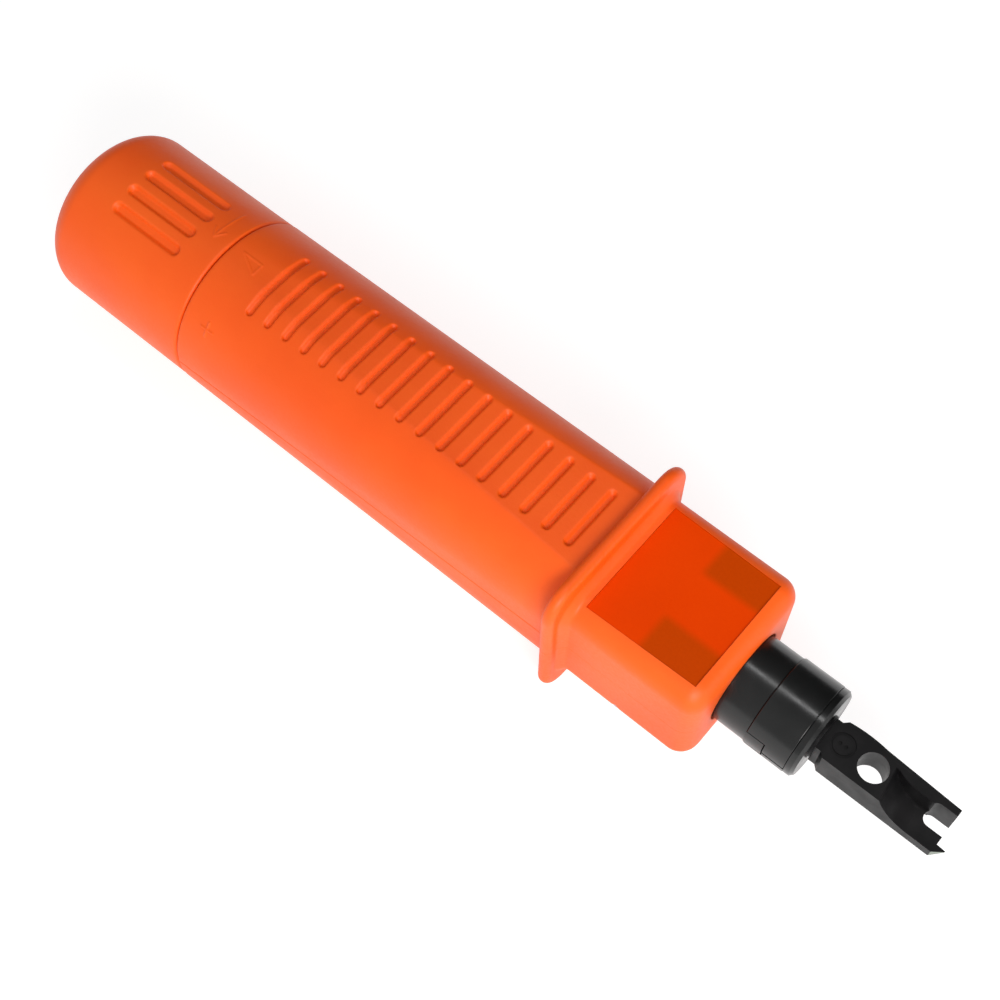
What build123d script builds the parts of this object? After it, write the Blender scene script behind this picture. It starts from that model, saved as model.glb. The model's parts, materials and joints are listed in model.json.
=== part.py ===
"""Adjustable impact punch down tool, lying on its side with the ribbed face up.

Everything is set out along the tool's axis, which is the X axis: the adjuster
knob is at -X and the blade points along +X.  Z = 0 is the plane in which the two
housing shells meet.  The origin is the centre of the tool's bounding box.
"""
import os
from math import cos, radians, sin

from build123d import *

# --- Driving dimensions (millimetres) ---------------------------------------
LENGTH = 173.6  # butt of the knob to the cutter's point
GRIP_RADIUS = 15.0  # knob and the rear end of the grip
TIP_X = LENGTH / 2
BUTT_X = -LENGTH / 2
KNOB_LENGTH = 34.4
SEAM_X = BUTT_X + KNOB_LENGTH  # where the knob meets the housing
NOSE_X = 50.0  # front face of the housing
STROKE = 10.0  # travel of the plunger, and the impact gap
SEAT_TRAVEL = 4.0  # travel of the spring seat over the knob's half turn

# Housing
GUARD_X = 25.15  # middle of the finger guard
GUARD_THICKNESS = 2.2
GUARD_HALF_WIDTH = 16.2
GUARD_CORNER = 5.0
FRONT_HALF_WIDTH = 13.9  # grip section at the guard, before the flats are cut
FRONT_HALF_HEIGHT = 14.3
FRONT_CORNER = 10.0
REAR_CORNER = 14.85  # nearly a full circle
PANEL_HEIGHT = 13.44  # height of the ribbed flat at the guard
WALL = 2.6
NOSE_HALF_WIDTH = 13.1
NOSE_HALF_HEIGHT = 11.2
NOSE_CORNER = 4.0
NOSE_EDGE = 3.2
GROOVE_COUNT = 17
GROOVE_FIRST_X = SEAM_X + 10.1
GROOVE_PITCH = 3.74  # at the rear; the pitch grows slowly towards the guard
GROOVE_GROWTH = 0.011
GROOVE_WIDTH = 1.5
GROOVE_DEPTH = 0.6
GROOVE_REAR_HALF = 6.94
GROOVE_FRONT_HALF = 5.78
PARTING_GROOVE = 0.25
LABEL_REAR_X = SEAM_X + 80.5
LABEL_FRONT_X = SEAM_X + 99.8
LABEL_REAR_HALF = 10.5
LABEL_FRONT_HALF = 10.15
LABEL_FLOOR = 10.65
LABEL_THICKNESS = 0.3
SCREW_Y = 11.0
SCREW_STATIONS = (-42.0, 9.5, 37.0)
SCREW_HEAD_RADIUS = 1.9
SCREW_SHANK_RADIUS = 1.0
SCREW_SEAT_Z = -7.5
SCREW_HEAD_HEIGHT = 1.4
SCREW_HOLE_DEPTH = 7.0
BULKHEADS = (-47.0, -34.0, -17.0, 9.5, 19.0)
BULKHEAD_THICKNESS = 2.0
RAIL_X = -43.0  # middle of the rails that keep the spring seat from turning
RAIL_LENGTH = 18.0
RAIL_HEIGHT = 8.0
RAIL_THICKNESS = 5.0
RAIL_GAP = 0.1
MARK_TILT = 49.5  # degrees round from the top to the plus mark
MARK_RAISE = 0.08

# Bores of the housing, rear to front
SPIGOT_REAR_X = -61.5
SPIGOT_RADIUS = 12.3
REAR_WALL_X = -58.5
CHAMBER_RADIUS = 8.8
SLEEVE_REAR_X = -18.0
MECHANISM_RADIUS = 9.2
JOURNAL_GAP = 0.07
RING_GROOVE_X = SPIGOT_REAR_X + 1.6
RING_GROOVE_WIDTH = 1.7
RING_GROOVE_DEPTH = 0.9
NOSE_BORE_X = 44.0
NOSE_BORE_RADIUS = 7.75

# Knob and adjuster
KNOB_SKIRT_RADIUS = 12.38
KNOB_FLOOR_X = -81.5
KNOB_BOSS_RADIUS = 7.8
KNOB_CROWN = 2.0
KNOB_EDGE = 5.2
KNOB_GROOVE_REAR_X = SEAM_X - 21.0
KNOB_GROOVE_FRONT_X = SEAM_X - 6.2
KNOB_GROOVE_WIDTH = 2.1
KNOB_GROOVE_DEPTH = 0.7
KNOB_GROOVE_STEP = 14.7  # degrees between neighbouring grooves
HEX_ACROSS_FLATS = 9.0
HEX_REAR_X = -76.0
HEX_FRONT_X = -63.5
SCREW_COLLAR_FRONT_X = -62.2
SCREW_COLLAR_RADIUS = 7.2
JOURNAL_RADIUS = 4.98
CLIP_GROOVE_RADIUS = 4.0
CLIP_THICKNESS = 0.9
THREAD_REAR_X = -54.0
THREAD_RADIUS = 4.9
THREAD_ROOT = 4.4
THREAD_PITCH = 2.0
THREAD_FRONT_X = -30.0

# Firing train at rest
SEAT_REAR_X = -50.0
SEAT_FACE_X = -42.0
SEAT_RADIUS = 8.6
SEAT_FLAT = 7.6
IMPACT_SPRING_RADIUS = 6.8
IMPACT_WIRE_RADIUS = 0.9
IMPACT_TURNS = 7.5
RESET_SPRING_RADIUS = 4.6
RESET_WIRE_RADIUS = 0.45
RESET_TURNS = 5
SEAR_SPRING_RADIUS = 1.1
SEAR_WIRE_RADIUS = 0.2
SEAR_WIRE_PITCH = 0.75
HAMMER_REAR_X = -10.0
HAMMER_FRONT_X = 12.0
HAMMER_RADIUS = 8.0
SLEEVE_BORE = 8.08
PIN_RADIUS = 3.0
PIN_GAP = 0.08
PIN_SOCKET_DEPTH = 8.0
SEAR_THICKNESS = 4.0
SEAR_HALF_WIDTH = 4.6
SEAR_TONGUE_HALF = 2.4
SEAR_TOP = 10.2
SEAR_BOTTOM = -4.6
SEAR_LIFT = 1.6  # how far the sear has to drop before its hole meets the pin
SEAR_SHOULDER_Z = 6.5
SEAR_POCKET_Z = -6.6
SPRING_POCKET_Z = -7.4
RAMP_SLOPE = SEAR_LIFT / STROKE
CAM_X = -4.5  # middle of the trip cam and of the sleeve's slot for it
CAM_HEAD = (19.0, 8.4)
CAM_HEAD_BOTTOM = 9.35
CAM_HEAD_TOP = 11.5
CAM_TONGUE_LENGTH = 17.0
CAM_TONGUE_BOTTOM = 8.05
KEY_SLOT_X = 21.0
KEY_SLOT_LENGTH = 15.0
KEY_PIN_X = 25.0
KEY_PIN_RADIUS = 1.0
KEY_PIN_INNER_Z = -4.0
SPINDLE_REAR_X = HAMMER_FRONT_X + STROKE
SHOULDER_FRONT_X = 27.8
BUMPER_REAR_X = 27.9
BUSHING_REAR_X = 29.0

# Blade holder and blade
SPINDLE_RADIUS = 7.4
COLLAR_REAR_X = 55.6
COLLAR_FRONT_X = 62.5
COLLAR_RADIUS = 7.62
COLLAR_BORE = 6.65
CAP_LIP_X = 60.4
CAP_LIP_RADIUS = 5.8
CAP_FACE_X = 62.6
HOLDER_FRONT_X = 64.0
SPINDLE_KEY = (1.4, 3.8)
SPINDLE_KEY_LENGTH = 3.1
COLLAR_WINDOW = (3.2, 4.2)
COLLAR_SLIT = (4.4, 0.4)
LUG_REAR_X = 57.4
LUG_LENGTH = 2.0
LUG_WIDTH = 3.0
RING_REAR_X = 50.0
TANG_RADIUS = 3.6
TANG_BORE = 3.65
LUG_RADIUS = 5.1
BLADE_HALF_WIDTH = 3.5
BLADE_TOP = 1.8
BLADE_BOTTOM = -3.7
BLADE_BULGE = 3.72  # half width on the side away from the cutter
TANG_REAR_X = 45.0
NECK_REAR_X = HOLDER_FRONT_X + 0.15
NECK_HALF_WIDTH = 2.8
BLADE_SHOULDER_X = SEAM_X + 118.4
SHOULDER_SLOPE = 0.7
BLADE_HOLE_X = SEAM_X + 124.8
BLADE_HOLE_RADIUS = 2.33
PRONG_TIP_X = SEAM_X + 137.75
PRONG_HALF_WIDTH = 2.85
CHANNEL_FLOOR = -1.8
CHANNEL_WALL_Y = 1.3
RAMP_LENGTH = 5.16
CHANNEL_SKEW = 8.8  # degrees
FORK_UNDERSIDE = -2.7
SLOT_REAR_X = SEAM_X + 134.0
SLOT_NEAR_Y = -0.7
SLOT_FAR_Y = 1.75
CUTTER_INNER_Y = -2.05
MARK_X = SEAM_X + 119.6
MARK_RADIUS = 1.95
MARK_DEPTH = 0.25

os.makedirs("parts", exist_ok=True)


def station(x):
    """The plane across the axis at x: its x is the row's Y, its y the row's Z."""
    return Plane(origin=(x, 0, 0), x_dir=(0, 1, 0), z_dir=(1, 0, 0))


def save(part, name):
    part.label = name
    export_step(part, f"parts/{name}.step")


def tube(rear_x, front_x, outer, inner=0.0):
    """A plain round tube or bar on the axis."""
    with BuildPart() as bar:
        with BuildSketch(station(rear_x)):
            Circle(outer)
            if inner:
                Circle(inner, mode=Mode.SUBTRACT)
        extrude(amount=front_x - rear_x)
    return bar.part


# --- Grip shape ---------------------------------------------------------------
def grip_section(x, inset):
    """Half width, half height and corner radius of the grip's section at x."""
    share = (x - SEAM_X) / (GUARD_X - SEAM_X)
    half_width = GRIP_RADIUS + share * (FRONT_HALF_WIDTH - GRIP_RADIUS)
    half_height = GRIP_RADIUS + share * (FRONT_HALF_HEIGHT - GRIP_RADIUS)
    corner = REAR_CORNER + share * (FRONT_CORNER - REAR_CORNER)
    return half_width - inset, half_height - inset, corner - inset


def panel_height(x):
    """Height of the ribbed flat, which runs out into the round rear end."""
    share = (x - SEAM_X) / (GUARD_X - SEAM_X)
    return GRIP_RADIUS + share * (PANEL_HEIGHT - GRIP_RADIUS)


def grip_solid(rear_x, front_x, inset=0.0):
    """The grip between two stations, with both ribbed flats planed on it."""
    with BuildPart() as grip:
        for x in (rear_x, front_x):
            half_width, half_height, corner = grip_section(x, inset)
            with BuildSketch(station(x)):
                RectangleRounded(2 * half_width, 2 * half_height, corner)
        loft()
        with BuildSketch(Plane.XZ) as side_view:
            with BuildLine():
                Polyline(
                    (rear_x, panel_height(rear_x) - inset),
                    (front_x, panel_height(front_x) - inset),
                    (front_x, -panel_height(front_x) + inset),
                    (rear_x, -panel_height(rear_x) + inset),
                    close=True,
                )
            make_face()
        extrude(side_view.sketch, amount=2 * GRIP_RADIUS, both=True, mode=Mode.INTERSECT)
    return grip.part


def nose_solid():
    """The square nose, from inside the guard to the front face."""
    with BuildPart() as nose:
        with BuildSketch(station(GUARD_X)):
            RectangleRounded(2 * NOSE_HALF_WIDTH, 2 * NOSE_HALF_HEIGHT, NOSE_CORNER)
        extrude(amount=NOSE_X - GUARD_X)
        fillet(nose.faces().sort_by(Axis.X)[-1].edges(), NOSE_EDGE)
    return nose.part


def guard_solid():
    """The finger guard: a rounded plate with a soft rim."""
    with BuildPart() as guard:
        with BuildSketch(station(GUARD_X - GUARD_THICKNESS / 2)):
            RectangleRounded(2 * GUARD_HALF_WIDTH, 2 * GRIP_RADIUS, GUARD_CORNER)
        extrude(amount=GUARD_THICKNESS)
        rims = guard.faces().filter_by(Axis.X).edges()
        fillet(rims, 0.45 * GUARD_THICKNESS)
    return guard.part


def guard_root():
    """The sloping web that thickens the guard where it meets the nose."""
    front_x = GUARD_X + GUARD_THICKNESS / 2
    with BuildPart() as root:
        with BuildSketch(station(front_x - 0.6)):
            RectangleRounded(2 * NOSE_HALF_WIDTH + 3.4, 2 * NOSE_HALF_HEIGHT + 3.4, NOSE_CORNER + 1.7)
        with BuildSketch(station(front_x + 1.1)):
            RectangleRounded(2 * NOSE_HALF_WIDTH + 0.1, 2 * NOSE_HALF_HEIGHT + 0.1, NOSE_CORNER)
        loft()
    return root.part


# --- Grip details ---------------------------------------------------------------
def groove_cutter():
    """The 17 cross grooves of each ribbed flat, all following its surface."""
    with BuildPart() as grooves:
        for side in (1, -1):
            with BuildSketch(Plane.XY.offset(side * 12.0)):
                for i in range(GROOVE_COUNT):
                    x = GROOVE_FIRST_X + GROOVE_PITCH * i + GROOVE_GROWTH * i * i
                    share = i / (GROOVE_COUNT - 1)
                    half = GROOVE_REAR_HALF + share * (GROOVE_FRONT_HALF - GROOVE_REAR_HALF)
                    with Locations((x, 0)):
                        SlotOverall(2 * half, GROOVE_WIDTH, rotation=90)
            extrude(amount=side * 4.0)
        add(grip_solid(SEAM_X, GUARD_X, GROOVE_DEPTH), mode=Mode.SUBTRACT)
    return grooves.part


def parting_cutter():
    """A fine line round the grip and nose, where the two shells meet."""
    with BuildPart() as line:
        with BuildSketch(Plane.XZ) as strip:
            with Locations(((SEAM_X + NOSE_X) / 2, 0)):
                Rectangle(NOSE_X - SEAM_X + 2, PARTING_GROOVE)
        extrude(strip.sketch, amount=2 * GRIP_RADIUS, both=True)
        add(grip_solid(SEAM_X, GUARD_X, PARTING_GROOVE), mode=Mode.SUBTRACT)
        with Locations((GUARD_X, 0, 0)):
            Box(
                GUARD_THICKNESS + 1.4,
                2 * GUARD_HALF_WIDTH - 2 * PARTING_GROOVE,
                2,
                mode=Mode.SUBTRACT,
            )
        with Locations(((GUARD_X + NOSE_X) / 2, 0, 0)):
            Box(
                NOSE_X - GUARD_X - 2 * PARTING_GROOVE,
                2 * NOSE_HALF_WIDTH - 2 * PARTING_GROOVE,
                2,
                mode=Mode.SUBTRACT,
            )
    return line.part


def bore_cutter():
    """All the round bores of the housing as one turned shape."""
    steps = (
        (SPIGOT_REAR_X - 1, REAR_WALL_X, JOURNAL_RADIUS + JOURNAL_GAP),
        (REAR_WALL_X, SLEEVE_REAR_X, CHAMBER_RADIUS),
        (SLEEVE_REAR_X, NOSE_BORE_X, MECHANISM_RADIUS),
        (NOSE_BORE_X, NOSE_X + 1, NOSE_BORE_RADIUS),
    )
    with BuildPart() as bores:
        for rear_x, front_x, radius in steps:
            with BuildSketch(station(rear_x)):
                Circle(radius)
            extrude(amount=front_x - rear_x)
    return bores.part


def inner_walls():
    """Bulkheads, spring-seat rails, screw bosses and the pad above the trip cam."""
    with BuildPart() as walls:
        for x in BULKHEADS:
            with Locations((x, 0, 0)):
                Box(BULKHEAD_THICKNESS, 2 * GRIP_RADIUS, 2 * GRIP_RADIUS)
        for side in (1, -1):
            with Locations((RAIL_X, side * (SEAT_FLAT + RAIL_GAP + RAIL_THICKNESS / 2), 0)):
                Box(RAIL_LENGTH, RAIL_THICKNESS, RAIL_HEIGHT)
        for x in SCREW_STATIONS[:2]:
            for side in (1, -1):
                with Locations((x, side * SCREW_Y, 0)):
                    Cylinder(SCREW_HEAD_RADIUS + 1.2, 2 * GRIP_RADIUS)
        with Locations((CAM_X, 0, 11.0)):
            Box(CAM_HEAD[0] + 3.0, CAM_HEAD[1] + 3.6, 5.0)
        add(grip_solid(SEAM_X + 0.5, GUARD_X, 0.5), mode=Mode.INTERSECT)
    return walls.part


def rail_bore_filler():
    """The rails' flats, which reach inside the round chamber."""
    with BuildPart() as rails:
        for side in (1, -1):
            with Locations((RAIL_X, side * (SEAT_FLAT + RAIL_GAP + RAIL_THICKNESS / 5), 0)):
                Box(RAIL_LENGTH, 0.4 * RAIL_THICKNESS, RAIL_HEIGHT)
    return rails.part


def arrow_marks():
    """Raised pointer triangle and plus mark on top of the grip's rear end."""
    with BuildPart() as marks:
        with BuildSketch(Plane.XY.offset(12.5)):
            with BuildLine():
                Polyline(
                    (SEAM_X + 2.0, 0.9),
                    (SEAM_X + 6.4, 0.9),
                    (SEAM_X + 6.4, -1.7),
                    close=True,
                )
            make_face()
            offset(amount=-0.42, mode=Mode.SUBTRACT)
        extrude(amount=4.0)
        tilt = radians(MARK_TILT)
        side_plane = Plane(
            origin=(SEAM_X + 5.1, -12.5 * sin(tilt), 12.5 * cos(tilt)),
            x_dir=(1, 0, 0),
            z_dir=(0, -sin(tilt), cos(tilt)),
        )
        with BuildSketch(side_plane):
            Rectangle(2.4, 0.45)
            Rectangle(0.45, 2.4)
        extrude(amount=4.0)
        with BuildSketch(station(SEAM_X + 0.5)):
            Circle(GRIP_RADIUS + MARK_RAISE)
        extrude(amount=8.0, mode=Mode.INTERSECT)
    return marks.part


# --- Housing shells --------------------------------------------------------------
def housing_body():
    """Both shells as one body, before they are parted."""
    with BuildPart() as body:
        add(grip_solid(SEAM_X, GUARD_X))
        add(nose_solid())
        add(guard_solid())
        add(guard_root())
        add(arrow_marks())
        add(tube(SPIGOT_REAR_X, SEAM_X + 3, SPIGOT_RADIUS))
        add(grip_solid(SEAM_X + 3, GUARD_X - 3, WALL), mode=Mode.SUBTRACT)
        add(tube(REAR_WALL_X, SEAM_X + 4, SPIGOT_RADIUS - 2.2), mode=Mode.SUBTRACT)
        add(inner_walls())
        add(bore_cutter(), mode=Mode.SUBTRACT)
        add(rail_bore_filler())
        add(groove_cutter(), mode=Mode.SUBTRACT)
        add(parting_cutter(), mode=Mode.SUBTRACT)
        with BuildSketch(Plane.XY.offset(LABEL_FLOOR)):
            with BuildLine():
                label_outline(0.0)
            make_face()
        extrude(amount=5.0, mode=Mode.SUBTRACT)
        with BuildSketch(station(RING_GROOVE_X)):
            Circle(SPIGOT_RADIUS + 1)
            Circle(SPIGOT_RADIUS - RING_GROOVE_DEPTH, mode=Mode.SUBTRACT)
        extrude(amount=RING_GROOVE_WIDTH, mode=Mode.SUBTRACT)
    return body.part


def label_outline(gap):
    """The slightly tapered outline of the label, drawn in from its recess by gap."""
    return Polyline(
        (LABEL_REAR_X + gap, LABEL_REAR_HALF - gap),
        (LABEL_FRONT_X - gap, LABEL_FRONT_HALF - gap),
        (LABEL_FRONT_X - gap, -LABEL_FRONT_HALF + gap),
        (LABEL_REAR_X + gap, -LABEL_REAR_HALF + gap),
        close=True,
    )


def screw_points():
    return [(x, side * SCREW_Y) for x in SCREW_STATIONS for side in (1, -1)]


def trip_cam_blank(gap):
    """The trip cam's outline: a head in the shell and a tongue in the sleeve's slot."""
    with BuildPart() as blank:
        with Locations((CAM_X, 0, (CAM_HEAD_BOTTOM + CAM_HEAD_TOP) / 2)):
            Box(
                CAM_HEAD[0] + 2 * gap,
                CAM_HEAD[1] + 2 * gap,
                CAM_HEAD_TOP - CAM_HEAD_BOTTOM + 2 * gap,
            )
        with Locations((CAM_X, 0, (CAM_TONGUE_BOTTOM + CAM_HEAD_BOTTOM) / 2)):
            Box(
                CAM_TONGUE_LENGTH + 2 * gap,
                2 * SEAR_TONGUE_HALF - 0.2 + 2 * gap,
                CAM_HEAD_BOTTOM - CAM_TONGUE_BOTTOM + 2 * gap,
            )
    return blank.part


def build_housing():
    body = housing_body()
    with BuildPart() as upper:
        add(body)
        split(bisect_by=Plane.XY, keep=Keep.TOP)
        add(trip_cam_blank(0.05), mode=Mode.SUBTRACT)
        with BuildSketch(Plane.XY):
            with Locations(*screw_points()):
                Circle(SCREW_SHANK_RADIUS)
        extrude(amount=SCREW_HOLE_DEPTH, mode=Mode.SUBTRACT)
    save(upper.part, "housing_upper")
    with BuildPart() as lower:
        add(body)
        split(bisect_by=Plane.XY, keep=Keep.BOTTOM)
        with BuildSketch(Plane.XY):
            with Locations(*screw_points()):
                Circle(SCREW_SHANK_RADIUS + 0.15)
        extrude(amount=-GRIP_RADIUS, mode=Mode.SUBTRACT)
        with BuildSketch(Plane.XY.offset(SCREW_SEAT_Z)):
            with Locations(*screw_points()):
                Circle(SCREW_HEAD_RADIUS + 0.2)
        extrude(amount=-GRIP_RADIUS, mode=Mode.SUBTRACT)
    save(lower.part, "housing_lower")


def build_housing_screws():
    """Six pan-head screws, driven from the underside."""
    with BuildPart() as screws:
        with BuildSketch(Plane.XY.offset(SCREW_SEAT_Z)):
            with Locations(*screw_points()):
                Circle(SCREW_SHANK_RADIUS)
        extrude(amount=SCREW_HOLE_DEPTH - SCREW_SEAT_Z - 1.0)
        with BuildSketch(Plane.XY.offset(SCREW_SEAT_Z)):
            with Locations(*screw_points()):
                Circle(SCREW_HEAD_RADIUS)
        extrude(amount=-SCREW_HEAD_HEIGHT)
        fillet(screws.faces().sort_by(Axis.Z)[:6].edges(), 0.5)
        with BuildSketch(Plane.XY.offset(SCREW_SEAT_Z - SCREW_HEAD_HEIGHT)):
            with Locations(*screw_points()):
                Rectangle(1.9, 0.5)
                Rectangle(0.5, 1.9)
        extrude(amount=0.8, mode=Mode.SUBTRACT)
    save(screws.part, "housing_screws")


def build_nose_label():
    with BuildPart() as label:
        with BuildSketch(Plane.XY.offset(LABEL_FLOOR)):
            with BuildLine():
                label_outline(0.08)
            make_face()
        extrude(amount=LABEL_THICKNESS)
    save(label.part, "nose_label")


# --- Parts fixed in the housing ---------------------------------------------------
def build_trip_cam():
    """The hardened wedge that pushes the sear down as the hammer is drawn back."""
    ramp_gap = 0.03
    rear_x, front_x = -16.0, 7.0
    with BuildPart() as cam:
        add(trip_cam_blank(0.0))
        with BuildSketch(Plane.XZ) as under_ramp:
            with BuildLine():
                Polyline(
                    (rear_x, 0),
                    (rear_x, SEAR_TOP + ramp_gap + RAMP_SLOPE * rear_x),
                    (front_x, SEAR_TOP + ramp_gap + RAMP_SLOPE * front_x),
                    (front_x, 0),
                    close=True,
                )
            make_face()
        extrude(under_ramp.sketch, amount=SEAR_TONGUE_HALF + 0.3, both=True, mode=Mode.SUBTRACT)
    save(cam.part, "trip_cam")


def build_hammer_sleeve():
    """Steel guide tube, slotted on top for the sear and below for the key pin."""
    with BuildPart() as sleeve:
        add(tube(SLEEVE_REAR_X, SHOULDER_FRONT_X, MECHANISM_RADIUS, SLEEVE_BORE))
        with BuildSketch(Plane.XY.offset(5)):
            with Locations((CAM_X, 0)):
                Rectangle(CAM_TONGUE_LENGTH + 0.4, 2 * SEAR_TONGUE_HALF + 0.4)
        extrude(amount=6, mode=Mode.SUBTRACT)
        with BuildSketch(Plane.XY.offset(-5)):
            with Locations((KEY_SLOT_X, 0)):
                Rectangle(KEY_SLOT_LENGTH, 2 * KEY_PIN_RADIUS + 0.3)
        extrude(amount=-6, mode=Mode.SUBTRACT)
    save(sleeve.part, "hammer_sleeve")


def build_nose_bushing():
    with BuildPart() as bushing:
        add(tube(BUSHING_REAR_X, NOSE_BORE_X, MECHANISM_RADIUS, SPINDLE_RADIUS + 0.06))
        with BuildSketch(station(35.0)):
            Circle(MECHANISM_RADIUS + 1)
            Circle(MECHANISM_RADIUS - 0.5, mode=Mode.SUBTRACT)
        extrude(amount=4.0, mode=Mode.SUBTRACT)
    save(bushing.part, "nose_bushing")


def build_front_bumper():
    """Rubber washer that the spindle's shoulder rests on."""
    with BuildPart() as bumper:
        add(tube(BUMPER_REAR_X, BUSHING_REAR_X, MECHANISM_RADIUS, SPINDLE_RADIUS + 0.3))
    save(bumper.part, "front_bumper")


# --- Adjuster ----------------------------------------------------------------------
def knob_profile():
    """Half section of the knob's outside: crowned butt, round edge, straight skirt."""
    crown_y = GRIP_RADIUS - KNOB_EDGE
    edge_x = BUTT_X + KNOB_CROWN
    with BuildLine() as outline:
        ThreePointArc((BUTT_X, 0), (BUTT_X + 0.5, crown_y / 2), (edge_x, crown_y))
        ThreePointArc(
            (edge_x, crown_y),
            (edge_x + KNOB_EDGE * (1 - cos(radians(45))), crown_y + KNOB_EDGE * sin(radians(45))),
            (edge_x + KNOB_EDGE, GRIP_RADIUS),
        )
        Polyline(
            (edge_x + KNOB_EDGE, GRIP_RADIUS),
            (SEAM_X - 0.9, GRIP_RADIUS),
            (SEAM_X - 0.3, GRIP_RADIUS - 0.5),
            (SEAM_X - 0.3, KNOB_SKIRT_RADIUS),
            (KNOB_FLOOR_X, KNOB_SKIRT_RADIUS),
            (KNOB_FLOOR_X, KNOB_BOSS_RADIUS),
            (HEX_FRONT_X, KNOB_BOSS_RADIUS),
            (HEX_FRONT_X, 0),
            (BUTT_X, 0),
        )
    return outline.line


def knob_groove_cutter():
    """Two groups of four finger grooves, on opposite sides of the knob."""
    middle = (KNOB_GROOVE_REAR_X + KNOB_GROOVE_FRONT_X) / 2
    length = KNOB_GROOVE_FRONT_X - KNOB_GROOVE_REAR_X
    with BuildPart() as grooves:
        for half_turn in (0, 180):
            for i in range(4):
                angle = radians(half_turn + KNOB_GROOVE_STEP * (i - 1.5))
                outward = (0, sin(angle), cos(angle))
                base = Plane(
                    origin=(middle, 12 * sin(angle), 12 * cos(angle)),
                    x_dir=(1, 0, 0),
                    z_dir=outward,
                )
                with BuildSketch(base):
                    SlotOverall(length, KNOB_GROOVE_WIDTH)
                extrude(amount=4.0)
        add(tube(BUTT_X, SEAM_X, GRIP_RADIUS - KNOB_GROOVE_DEPTH), mode=Mode.SUBTRACT)
    return grooves.part


def knob_arrow():
    """A low raised arrow round the knob's front edge, showing which way it turns."""
    with BuildPart() as arrow:
        with BuildSketch(Plane.XY.offset(12.5)):
            with Locations((SEAM_X - 3.6, 3.4)):
                Rectangle(0.45, 6.4)
            with BuildLine():
                Polyline(
                    (SEAM_X - 4.9, 1.3),
                    (SEAM_X - 3.6, -0.6),
                    (SEAM_X - 2.3, 1.3),
                    (SEAM_X - 2.8, 1.6),
                    (SEAM_X - 3.6, 0.4),
                    (SEAM_X - 4.4, 1.6),
                    close=True,
                )
            make_face()
        extrude(amount=4.0)
        add(tube(SEAM_X - 8, SEAM_X, GRIP_RADIUS + MARK_RAISE), mode=Mode.INTERSECT)
    return arrow.part


def build_adjuster_knob():
    with BuildPart() as knob:
        with BuildSketch(Plane.XZ):
            with BuildLine():
                add(knob_profile())
            make_face()
        revolve(axis=Axis.X)
        for angle in range(0, 180, 60):
            with BuildSketch(station(KNOB_FLOOR_X)):
                Rectangle(2 * KNOB_SKIRT_RADIUS + 0.2, 1.6, rotation=angle)
                Circle(KNOB_BOSS_RADIUS - 0.5, mode=Mode.SUBTRACT)
            extrude(amount=14.0)
        add(knob_arrow())
        add(knob_groove_cutter(), mode=Mode.SUBTRACT)
        with BuildSketch(station(HEX_REAR_X)):
            RegularPolygon(HEX_ACROSS_FLATS / 2, 6, major_radius=False)
        extrude(amount=HEX_FRONT_X - HEX_REAR_X, mode=Mode.SUBTRACT)
    save(knob.part, "adjuster_knob")


def build_adjuster_screw():
    """Lead screw: hex drive, collar, journal, clip groove and thread."""
    clip_x = REAR_WALL_X + 0.1
    with BuildPart() as screw:
        with BuildSketch(station(HEX_REAR_X)):
            RegularPolygon(HEX_ACROSS_FLATS / 2, 6, major_radius=False)
        extrude(amount=HEX_FRONT_X - HEX_REAR_X)
        add(tube(HEX_FRONT_X, SCREW_COLLAR_FRONT_X, SCREW_COLLAR_RADIUS))
        add(tube(SCREW_COLLAR_FRONT_X, clip_x + 1.0, JOURNAL_RADIUS))
        add(tube(clip_x + 1.0, THREAD_FRONT_X, THREAD_RADIUS))
        with BuildSketch(station(clip_x)):
            Circle(8)
            Circle(CLIP_GROOVE_RADIUS, mode=Mode.SUBTRACT)
        extrude(amount=CLIP_THICKNESS + 0.1, mode=Mode.SUBTRACT)
        turns = int((THREAD_FRONT_X - THREAD_REAR_X) / THREAD_PITCH)
        for i in range(turns):
            with BuildSketch(station(THREAD_REAR_X + THREAD_PITCH * i)):
                Circle(8)
                Circle(THREAD_ROOT, mode=Mode.SUBTRACT)
            extrude(amount=THREAD_PITCH / 2, mode=Mode.SUBTRACT)
        chamfer(screw.faces().sort_by(Axis.X)[-1].edges(), 0.4)
    save(screw.part, "adjuster_screw")


def build_thrust_washer():
    with BuildPart() as washer:
        add(tube(SCREW_COLLAR_FRONT_X, SPIGOT_REAR_X - 0.05, 9.0, JOURNAL_RADIUS + 0.1))
    save(washer.part, "thrust_washer")


def build_screw_clip():
    """E-clip that holds the lead screw against the housing's rear wall."""
    clip_x = REAR_WALL_X + 0.15
    with BuildPart() as clip:
        with BuildSketch(station(clip_x)):
            Circle(7.0)
            Circle(5.2, mode=Mode.SUBTRACT)
            with PolarLocations(4.9, 3):
                Circle(1.1)
            Circle(CLIP_GROOVE_RADIUS + 0.02, mode=Mode.SUBTRACT)
            with Locations((0, -6)):
                Rectangle(5.0, 6.0, mode=Mode.SUBTRACT)
        extrude(amount=CLIP_THICKNESS)
    save(clip.part, "screw_clip")


def build_knob_drag_ring():
    """O-ring on the spigot, which gives the knob its stiff feel."""
    with BuildPart() as ring:
        with BuildSketch(Plane.XZ):
            with Locations((RING_GROOVE_X + RING_GROOVE_WIDTH / 2, SPIGOT_RADIUS - 0.2)):
                Ellipse(0.75, 0.24)
        revolve(axis=Axis.X)
    save(ring.part, "knob_drag_ring")


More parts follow.
